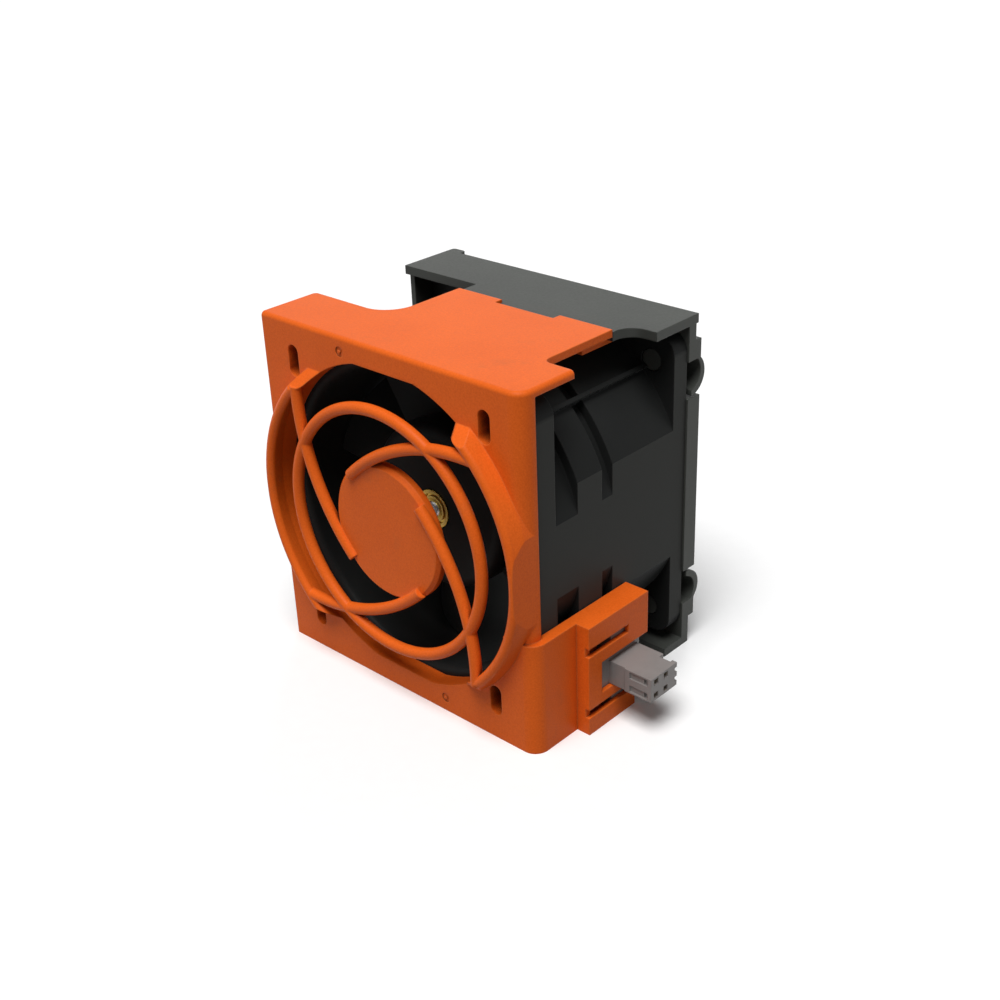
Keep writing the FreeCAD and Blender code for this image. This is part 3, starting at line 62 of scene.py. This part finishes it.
# %% Helpers for colours and nodes
def linear(hex_colour):
    """The linear RGBA value of an sRGB hex colour."""
    channels = [int(hex_colour[place:place + 2], 16) / 255 for place in (1, 3, 5)]
    return [c / 12.92 if c <= 0.04045 else ((c + 0.055) / 1.055) ** 2.4 for c in channels] + [1.0]


def add_node(tree, kind, values=None, links=None, **settings):
    """A new node with its settings, socket values and incoming links."""
    made = tree.nodes.new(kind)
    for name, value in settings.items():
        setattr(made, name, value)
    for socket, value in (values or {}).items():
        made.inputs[socket].default_value = value
    for socket, output in (links or {}).items():
        tree.links.new(output, made.inputs[socket])
    return made


def new_finish(name):
    """An empty material with a shader and the coordinates of the piece itself, in metres."""
    material = bpy.data.materials.new(name)
    material.use_nodes = True
    tree = material.node_tree
    shader = tree.nodes["Principled BSDF"]
    place = add_node(tree, "ShaderNodeTexCoord").outputs["Object"]
    return material, tree, shader, place


print("helpers ready; mid grey is", [round(channel, 3) for channel in linear("#808080")[:3]])

# %% [markdown]
# ## Orange ABS, injection moulded
# The guard cover is a tough ABS blend in the orange that marks a part that may be pulled out while the
# server runs. Its mould was spark eroded, which leaves a fine, even grain, so the plastic has a soft
# sheen and no sharp mirror. The grain is about 0.12 mm wide on the real thing, too fine to show, and is
# drawn at 0.3 mm, as a fine speckle in the colour, the roughness and the bump. A moulded edge is never a
# knife edge: the Bevel node bends the light over the last fraction of a millimetre.

# %% Orange moulding
orange_abs, tree, shader, place = new_finish("orange_abs_spark_eroded")
GRAIN = 0.3 * MILLIMETRE
GRAIN_DEPTH = 0.04 * MILLIMETRE
FLOW_MARK = 14 * MILLIMETRE
COVER_EDGE = 0.35 * MILLIMETRE
flow = add_node(tree, "ShaderNodeTexNoise", {"Scale": 1 / FLOW_MARK, "Detail": 2.0}, {"Vector": place})
grain = add_node(tree, "ShaderNodeTexNoise", {"Scale": 1 / GRAIN, "Detail": 3.0}, {"Vector": place})
speckle = add_node(tree, "ShaderNodeMix", {"Factor": 0.7},
                   {"A": flow.outputs["Fac"], "B": grain.outputs["Fac"]})
tint = add_node(tree, "ShaderNodeValToRGB", links={"Fac": speckle.outputs["Result"]})
tint.color_ramp.elements[0].color = linear("#D05008")
tint.color_ramp.elements[1].color = linear("#FC7628")
sheen = add_node(tree, "ShaderNodeMapRange", {"To Min": 0.36, "To Max": 0.50},
                 {"Value": grain.outputs["Fac"]})
tree.links.new(sheen.outputs["Result"], shader.inputs["Roughness"])
edge = add_node(tree, "ShaderNodeBevel", {"Radius": COVER_EDGE}, samples=4)
bump = add_node(tree, "ShaderNodeBump", {"Strength": 0.5, "Distance": GRAIN_DEPTH},
                {"Height": grain.outputs["Fac"], "Normal": edge.outputs["Normal"]})
tree.links.new(bump.outputs["Normal"], shader.inputs["Normal"])
shader.inputs["IOR"].default_value = 1.53
shader.inputs["Specular IOR Level"].default_value = 0.11
print("made", orange_abs.name)

# %% [markdown]
# ## Wear, painted highlights and painted shade on the orange
# Where the Bevel node's normal and the face's own normal part, there is an edge, and it is painted a
# little paler: a painted highlight, and some wear from hands. A few faint brown smudges, as wide as a
# fingertip, are what is left of years in a server room. The slots and their corners are painted dark
# brown as painted shade. The Ambient Occlusion node finds those places: it tells how much of the space
# within a few millimetres of a point is open.

# %% Painted edge highlights, smudges and painted shade
FINGERTIP = 11 * MILLIMETRE
PAINTED_SHADE_REACH = 4 * MILLIMETRE
face = add_node(tree, "ShaderNodeNewGeometry")
alike = add_node(tree, "ShaderNodeVectorMath", links={0: edge.outputs["Normal"], 1: face.outputs["Normal"]},
                 operation="DOT_PRODUCT")
# Painted highlight and wear: every edge is painted a paler orange.
edge_highlight_and_wear = add_node(tree, "ShaderNodeMapRange", {"From Min": 0.99, "From Max": 0.85, "To Max": 0.22},
                  {"Value": alike.outputs["Value"]})
highlighted_edges = add_node(tree, "ShaderNodeMix", {"B": linear("#F59A5E")},
                 {"Factor": edge_highlight_and_wear.outputs["Result"], "A": tint.outputs["Color"]}, data_type="RGBA")
touches = add_node(tree, "ShaderNodeTexNoise", {"Scale": 1 / FINGERTIP, "Detail": 4.0, "Roughness": 0.6},
                   {"Vector": place})
smudge = add_node(tree, "ShaderNodeMapRange", {"From Min": 0.60, "From Max": 0.78, "To Max": 0.22},
                  {"Value": touches.outputs["Fac"]})
smudged = add_node(tree, "ShaderNodeMix", {"B": linear("#8E5A3C")},
                   {"Factor": smudge.outputs["Result"], "A": highlighted_edges.outputs["Result"]}, data_type="RGBA")
# Painted shade: closed-in recesses turn dark brown, the more so the less is open around them.
hollow = add_node(tree, "ShaderNodeAmbientOcclusion", {"Distance": PAINTED_SHADE_REACH}, samples=8, only_local=True)
painted_shade_mask = add_node(tree, "ShaderNodeMapRange", {"From Min": 0.62, "From Max": 0.25, "To Max": 0.93},
                {"Value": hollow.outputs["AO"]})
painted_shade_colour = add_node(tree, "ShaderNodeMix", {"B": linear("#2E1912")},
                 {"Factor": painted_shade_mask.outputs["Result"], "A": smudged.outputs["Result"]}, data_type="RGBA")
tree.links.new(painted_shade_colour.outputs["Result"], shader.inputs["Base Color"])
print(orange_abs.name, "has", len(tree.nodes), "nodes")

# %% [markdown]
# ## Two black plastics
# The fan itself, frame and rotor, is moulded from black PBT, stiffened with short glass fibres that lie
# just under the skin. It is close to matt, and its black is painted darker than the rear frame's, partly
# as painted shade, so the duct and the hub stay dark. The rear frame is a separate moulding in a charcoal
# polycarbonate blend, a little greyer, and its top takes a satin sheen where the light grazes it. Both are
# made the same way: soft clouds in the colour, and a fine unevenness in the roughness and the bump. The
# fibres are about 0.01 mm thick on the real thing, too fine to show, and are drawn at 0.5 mm. The flat
# sides are painted a little paler: a painted sheen, and scuffing from sliding along the walls of the bay
# each time. A point's place times its normal, across the fan, is largest on faces that look outwards at
# the very side, and picks them out.

# %% Black mouldings
FIBRE = 0.5 * MILLIMETRE
FIBRE_DEPTH = 0.02 * MILLIMETRE
BLACK_EDGE = 0.3 * MILLIMETRE
CLOUD = 9 * MILLIMETRE
SCUFF_AND_SHEEN_DEPTH = 0.5 * MILLIMETRE
SIDE = min(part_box(node)[1][0] for node in ("fan_frame", "rear_frame"))
blacks = {}
# The fan's black is painted darker than the rear frame's, partly as painted shade in its duct and hub.
for name, dark_colour, light_colour, scuffed_sheen_colour, index, level in (
        ("black_pbt_glass_filled", "#1E1F1F", "#272827", "#3B3C3A", 1.55, 0.04),
        ("charcoal_polycarbonate_moulded", "#3C3E3B", "#464844", "#50524E", 1.58, 0.12)):
    black, tree, shader, place = new_finish(name)
    cloud = add_node(tree, "ShaderNodeTexNoise", {"Scale": 1 / CLOUD, "Detail": 3.0}, {"Vector": place})
    tint = add_node(tree, "ShaderNodeValToRGB", links={"Fac": cloud.outputs["Fac"]})
    tint.color_ramp.elements[0].color = linear(dark_colour)
    tint.color_ramp.elements[1].color = linear(light_colour)
    outward = add_node(tree, "ShaderNodeVectorMath", links={0: place, 1: place.node.outputs["Normal"]},
                       operation="MULTIPLY")
    across = add_node(tree, "ShaderNodeSeparateXYZ", links={"Vector": outward.outputs["Vector"]})
    # Painted sheen and scuffing: the outermost side faces are painted paler.
    scuff_and_sheen = add_node(tree, "ShaderNodeMapRange", {"From Min": SIDE - SCUFF_AND_SHEEN_DEPTH, "From Max": SIDE},
                     {"Value": across.outputs["X"]})
    worn_and_sheened = add_node(tree, "ShaderNodeMix", {"B": linear(scuffed_sheen_colour)},
                    {"Factor": scuff_and_sheen.outputs["Result"], "A": tint.outputs["Color"]}, data_type="RGBA")
    tree.links.new(worn_and_sheened.outputs["Result"], shader.inputs["Base Color"])
    fibre = add_node(tree, "ShaderNodeTexNoise", {"Scale": 1 / FIBRE, "Detail": 4.0}, {"Vector": place})
    sheen = add_node(tree, "ShaderNodeMapRange", {"To Min": 0.34, "To Max": 0.52},
                     {"Value": fibre.outputs["Fac"]})
    tree.links.new(sheen.outputs["Result"], shader.inputs["Roughness"])
    edge = add_node(tree, "ShaderNodeBevel", {"Radius": BLACK_EDGE}, samples=4)
    bump = add_node(tree, "ShaderNodeBump", {"Strength": 0.08, "Distance": FIBRE_DEPTH},
                    {"Height": fibre.outputs["Fac"], "Normal": edge.outputs["Normal"]})
    tree.links.new(bump.outputs["Normal"], shader.inputs["Normal"])
    shader.inputs["IOR"].default_value = index
    shader.inputs["Specular IOR Level"].default_value = level
    blacks[name] = black
print("made", ", ".join(blacks))

# %% [markdown]
# ## Grey nylon
# Connector housings are moulded in nylon, here in a warm mid grey. It is waxy: a broad, soft highlight,
# with hardly any texture at this size. Only faint clouds in the colour, about 2 mm wide, break it up.

# %% Grey moulding
grey_nylon, tree, shader, place = new_finish("grey_nylon_moulded")
WAXY_CLOUD = 2 * MILLIMETRE
PLUG_EDGE = 0.2 * MILLIMETRE
cloud = add_node(tree, "ShaderNodeTexNoise", {"Scale": 1 / WAXY_CLOUD, "Detail": 2.0}, {"Vector": place})
tint = add_node(tree, "ShaderNodeValToRGB", links={"Fac": cloud.outputs["Fac"]})
tint.color_ramp.elements[0].color = linear("#7E7977")
tint.color_ramp.elements[1].color = linear("#8A8582")
tree.links.new(tint.outputs["Color"], shader.inputs["Base Color"])
edge = add_node(tree, "ShaderNodeBevel", {"Radius": PLUG_EDGE}, samples=4)
tree.links.new(edge.outputs["Normal"], shader.inputs["Normal"])
shader.inputs["Roughness"].default_value = 0.45
shader.inputs["IOR"].default_value = 1.53
print("made", grey_nylon.name)

# %% [markdown]
# ## Turned brass and ground steel
# The boss in the hub is a turned brass bush, and the shaft in it is ground steel. A lathe leaves rings
# round the axis, so their grooves are drawn by a Wave texture in its rings form, centred on the rotor
# axis. The real grooves are some hundredths of a millimetre apart, too fine to show, and are drawn nearly
# 1 mm apart. A Wave texture of scale 1 repeats every 0.314 units, so its scale is that length over the
# spacing.

# %% Turned and ground metals
axis_low, axis_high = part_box("shaft")
AXIS_HEIGHT = (axis_low[2] + axis_high[2]) / 2
WAVE_PERIOD = 0.314
TURNING = 0.942 * MILLIMETRE
metals = {}
for name, light_colour, dark_colour, low, high in (
        ("brass_turned", "#D9BC6A", "#B8963F", 0.18, 0.34),
        ("steel_ground", "#C9CACC", "#9FA1A4", 0.16, 0.30)):
    metal, tree, shader, place = new_finish(name)
    centred = add_node(tree, "ShaderNodeMapping", {"Location": (0, 0, -AXIS_HEIGHT)}, {"Vector": place})
    rings = add_node(tree, "ShaderNodeTexWave", {"Scale": WAVE_PERIOD / TURNING, "Distortion": 0.4},
                     {"Vector": centred.outputs["Vector"]}, wave_type="RINGS", rings_direction="Y")
    tint = add_node(tree, "ShaderNodeValToRGB", links={"Fac": rings.outputs["Fac"]})
    tint.color_ramp.elements[0].color = linear(dark_colour)
    tint.color_ramp.elements[1].color = linear(light_colour)
    tree.links.new(tint.outputs["Color"], shader.inputs["Base Color"])
    sheen = add_node(tree, "ShaderNodeMapRange", {"To Min": low, "To Max": high},
                     {"Value": rings.outputs["Fac"]})
    tree.links.new(sheen.outputs["Result"], shader.inputs["Roughness"])
    shader.inputs["Metallic"].default_value = 1.0
    metals[name] = metal
print("made", ", ".join(metals), "about an axis", round(AXIS_HEIGHT / MILLIMETRE, 1), "mm up")

# %% [markdown]
# ## The motor's insides
# Nobody sees these until the fan is taken apart, but each one is still what it is: copper wire under a
# clear enamel, a core of thin steel sheets, a bonded ferrite magnet, nylon bobbins, a green board and its
# small parts. Wire and sheets are both stripes along one axis, so a Wave texture in its bands form draws
# them. The rest have an even skin with soft spots, which a Noise texture draws.

# %% Wire, core and board
def striped(name, light_colour, dark_colour, pitch, direction, metallic, roughness):
    """A finish with fine bands across one axis, pitch in metres."""
    material, tree, shader, place = new_finish(name)
    bands = add_node(tree, "ShaderNodeTexWave", {"Scale": WAVE_PERIOD / pitch}, {"Vector": place},
                     wave_type="BANDS", bands_direction=direction)
    tint = add_node(tree, "ShaderNodeValToRGB", links={"Fac": bands.outputs["Fac"]})
    tint.color_ramp.elements[0].color = linear(dark_colour)
    tint.color_ramp.elements[1].color = linear(light_colour)
    tree.links.new(tint.outputs["Color"], shader.inputs["Base Color"])
    bump = add_node(tree, "ShaderNodeBump", {"Strength": 0.4, "Distance": 0.1 * pitch},
                    {"Height": bands.outputs["Fac"]})
    tree.links.new(bump.outputs["Normal"], shader.inputs["Normal"])
    shader.inputs["Metallic"].default_value = metallic
    shader.inputs["Roughness"].default_value = roughness
    return material


def mottled(name, light_colour, dark_colour, size, metallic, roughness):
    """A finish with soft spots of one size, in metres."""
    material, tree, shader, place = new_finish(name)
    spots = add_node(tree, "ShaderNodeTexNoise", {"Scale": 1 / size, "Detail": 3.0}, {"Vector": place})
    tint = add_node(tree, "ShaderNodeValToRGB", links={"Fac": spots.outputs["Fac"]})
    tint.color_ramp.elements[0].color = linear(dark_colour)
    tint.color_ramp.elements[1].color = linear(light_colour)
    tree.links.new(tint.outputs["Color"], shader.inputs["Base Color"])
    shader.inputs["Metallic"].default_value = metallic
    shader.inputs["Roughness"].default_value = roughness
    return material


copper_wire = striped("copper_wire_enamelled", "#C8713A", "#7E3A1A", 0.35 * MILLIMETRE, "Y", 1.0, 0.30)
core_steel = striped("core_steel_laminated", "#8C8D8F", "#55565A", 0.5 * MILLIMETRE, "Y", 1.0, 0.42)
ferrite = mottled("ferrite_bonded", "#3A3A3C", "#2A2A2C", 1.2 * MILLIMETRE, 0.0, 0.60)
white_nylon = mottled("white_nylon_moulded", "#E6E1D4", "#DAD4C6", 3 * MILLIMETRE, 0.0, 0.45)
board_mask = mottled("board_solder_mask", "#1F6A3C", "#164F2C", 1.6 * MILLIMETRE, 0.0, 0.30)
epoxy = mottled("epoxy_moulded", "#2B2B2D", "#1E1E20", 0.8 * MILLIMETRE, 0.0, 0.55)
can_aluminium = mottled("aluminium_drawn", "#C6C8CA", "#AEB0B3", 0.9 * MILLIMETRE, 1.0, 0.32)
print("made the motor's finishes")

# %% [markdown]
# ## Dress every piece
# Each CAD node has one material slot already. Putting another material into that slot changes its looks
# and nothing else, so the table below is all it takes.

# %% Give each node its finish
DRESS = {
    orange_abs: ["guard_cover"],
    blacks["black_pbt_glass_filled"]: ["fan_frame", "impeller"],
    blacks["charcoal_polycarbonate_moulded"]: ["rear_frame"],
    grey_nylon: ["connector_shell"],
    metals["brass_turned"]: ["shaft_boss", "bearing_tube", "winding_posts", "connector_contacts"],
    metals["steel_ground"]: [
        "shaft", "rotor_yoke", "retaining_clip", "preload_spring", "front_bearing_outer_ring",
        "front_bearing_inner_ring", "front_bearing_balls", "front_bearing_cage", "rear_bearing_outer_ring",
        "rear_bearing_inner_ring", "rear_bearing_balls", "rear_bearing_cage"],
    copper_wire: ["stator_windings"],
    core_steel: ["stator_core"],
    ferrite: ["rotor_magnet"],
    white_nylon: ["front_insulator", "rear_insulator"],
    board_mask: ["circuit_board"],
    epoxy: ["driver_chip", "hall_sensor", "board_resistors"],
    can_aluminium: ["capacitor"],
}
for finish, names in DRESS.items():
    for name in names:
        nodes[name].data.materials.clear()
        nodes[name].data.materials.append(finish)
undressed = sorted(set(nodes) - {name for names in DRESS.values() for name in names})
print("nodes without a finish:", undressed)

# %% [markdown]
# ## A white studio
# The picture has a plain white ground. To the eye the floor is white paper that still takes the shadow,
# but the light that it throws back onto the fan is that of a grey table, so the front darkens a little
# towards its foot. Light Path tells a material what kind of ray is asking: rays from the camera, and rays
# that come by way of a shiny or clear surface, see the white. The world behind the floor does the same.

# %% Floor and world
def seen_by_eye(tree):
    """A socket that is 1 for camera, glossy and transmission rays, and 0 for scattered light."""
    ray = add_node(tree, "ShaderNodeLightPath").outputs
    seen = add_node(tree, "ShaderNodeMath", links={0: ray["Is Camera Ray"], 1: ray["Is Glossy Ray"]},
                    operation="MAXIMUM")
    seen = add_node(tree, "ShaderNodeMath", links={0: seen.outputs[0], 1: ray["Is Transmission Ray"]},
                    operation="MAXIMUM")
    return seen.outputs[0]


FLOOR_SIZE = 8.0
PAPER_FIBRE = 3 * MILLIMETRE
bpy.ops.mesh.primitive_plane_add(size=FLOOR_SIZE, location=(0, 0, 0))
floor = bpy.context.object
floor.name = "studio_floor"
paper, tree, shader, place = new_finish("paper_white")
fibres = add_node(tree, "ShaderNodeTexNoise", {"Scale": 1 / PAPER_FIBRE}, {"Vector": place})
tint = add_node(tree, "ShaderNodeValToRGB", links={"Fac": fibres.outputs["Fac"]})
tint.color_ramp.elements[0].color = linear("#FAFAFA")
tint.color_ramp.elements[1].color = linear("#FDFDFD")
paper_or_table = add_node(tree, "ShaderNodeMix", {"A": linear("#8E8E8E")},
                          {"Factor": seen_by_eye(tree), "B": tint.outputs["Color"]}, data_type="RGBA")
tree.links.new(paper_or_table.outputs["Result"], shader.inputs["Base Color"])
shader.inputs["Roughness"].default_value = 0.9
shader.inputs["Specular IOR Level"].default_value = 0.0
floor.data.materials.append(paper)
floor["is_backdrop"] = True

ROOM_LIGHT, SEEN_WHITE = 0.16, 1.0
world = bpy.data.worlds.new("studio")
scene.world = world
world.use_nodes = True
tree = world.node_tree
strength = add_node(tree, "ShaderNodeMapRange", {"To Min": ROOM_LIGHT, "To Max": SEEN_WHITE},
                    {"Value": seen_by_eye(tree)})
background = tree.nodes["Background"]
background.inputs["Color"].default_value = (1, 1, 1, 1)
tree.links.new(strength.outputs["Result"], background.inputs["Strength"])
print("floor and world are white to the camera")

# %% [markdown]
# ## Light
# In the picture the top of the cover is the brightest, its front is darker, and its right side darker
# still. One sun lamp overhead, leaning to the front, gives that order. A sun lights the whole floor
# alike, however far it reaches, so the ground stays white up to the picture's edge. Its angle is wide, as
# if it shone through a large cloth, so the shadows are soft. At a strength near pi a white sheet facing
# it is just white. A second, weaker one stands low behind the fan on the left. It only fills shadows, so
# shiny surfaces don't see it. The photograph's view hardly shows it, but without it the rear frame and
# the left side would be lost in the dark. Each row gives where a lamp shines from, its strength, its
# angle and whether shiny surfaces see it.

# %% Lamps
LAMPS = {
    "overhead_softbox": (Vector((0.126, -0.325, 0.94)), 3.0, 0.6, True),
    "rear_fill": (Vector((-0.55, 0.82, 0.12)), 1.3, 0.4, False),
}
for name, (comes_from, energy, spread, mirrored) in LAMPS.items():
    data = bpy.data.lights.new(name, "SUN")
    data.energy = energy
    data.angle = spread
    lamp = bpy.data.objects.new(name, data)
    scene.collection.objects.link(lamp)
    lamp.visible_glossy = mirrored
    lamp.location = comes_from
    lamp.rotation_euler = comes_from.to_track_quat("Z", "Y").to_euler()
    print(name, "on a level white sheet:", round(energy * comes_from.normalized().z / math.pi, 2))

# %% [markdown]
# ## Camera
# The camera stands where the photograph was taken from. Its place, turn and focal length were worked out
# from the straight edges and the circles of the object. A lens of 51 mm on a 36 mm sensor sees the whole
# module. Its turns are in radians. A camera starts out looking straight down, so a quarter turn first
# lifts it level.

# %% Camera
CAMERA_PLACE = Vector((164.5, -168.9, 151.4)) * MILLIMETRE
TURN_LEFT, LOOK_DOWN, ROLL = 0.7626, 0.4759, -0.0398
SENSOR_WIDTH, FOCAL_LENGTH = 36.0, 50.9
NEAREST = 10 * MILLIMETRE
data = bpy.data.cameras.new("photo_view")
data.sensor_width = SENSOR_WIDTH
data.lens = FOCAL_LENGTH
data.clip_start = NEAREST
camera = bpy.data.objects.new("photo_view", data)
scene.collection.objects.link(camera)
level = Euler((math.pi / 2 - LOOK_DOWN, 0, TURN_LEFT)).to_matrix()
rolled = level @ Matrix.Rotation(ROLL, 3, "Z")
camera.matrix_world = Matrix.Translation(CAMERA_PLACE) @ rolled.to_4x4()
scene.camera = camera
scene.view_settings.view_transform = "Standard"
print("camera", round(CAMERA_PLACE.length / MILLIMETRE), "mm from the origin")

# %% [markdown]
# ## Compare the size
# The looks may not change the object's real size, so the box of what is shown is set beside the CAD box
# and the largest change is printed.

# %% Size
bpy.context.view_layer.update()
seen_low, seen_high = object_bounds()
changes = [*(seen_low - cad_low), *(seen_high - cad_high)]
print("largest change of size:", round(max(abs(change) for change in changes) / MILLIMETRE, 3), "mm")
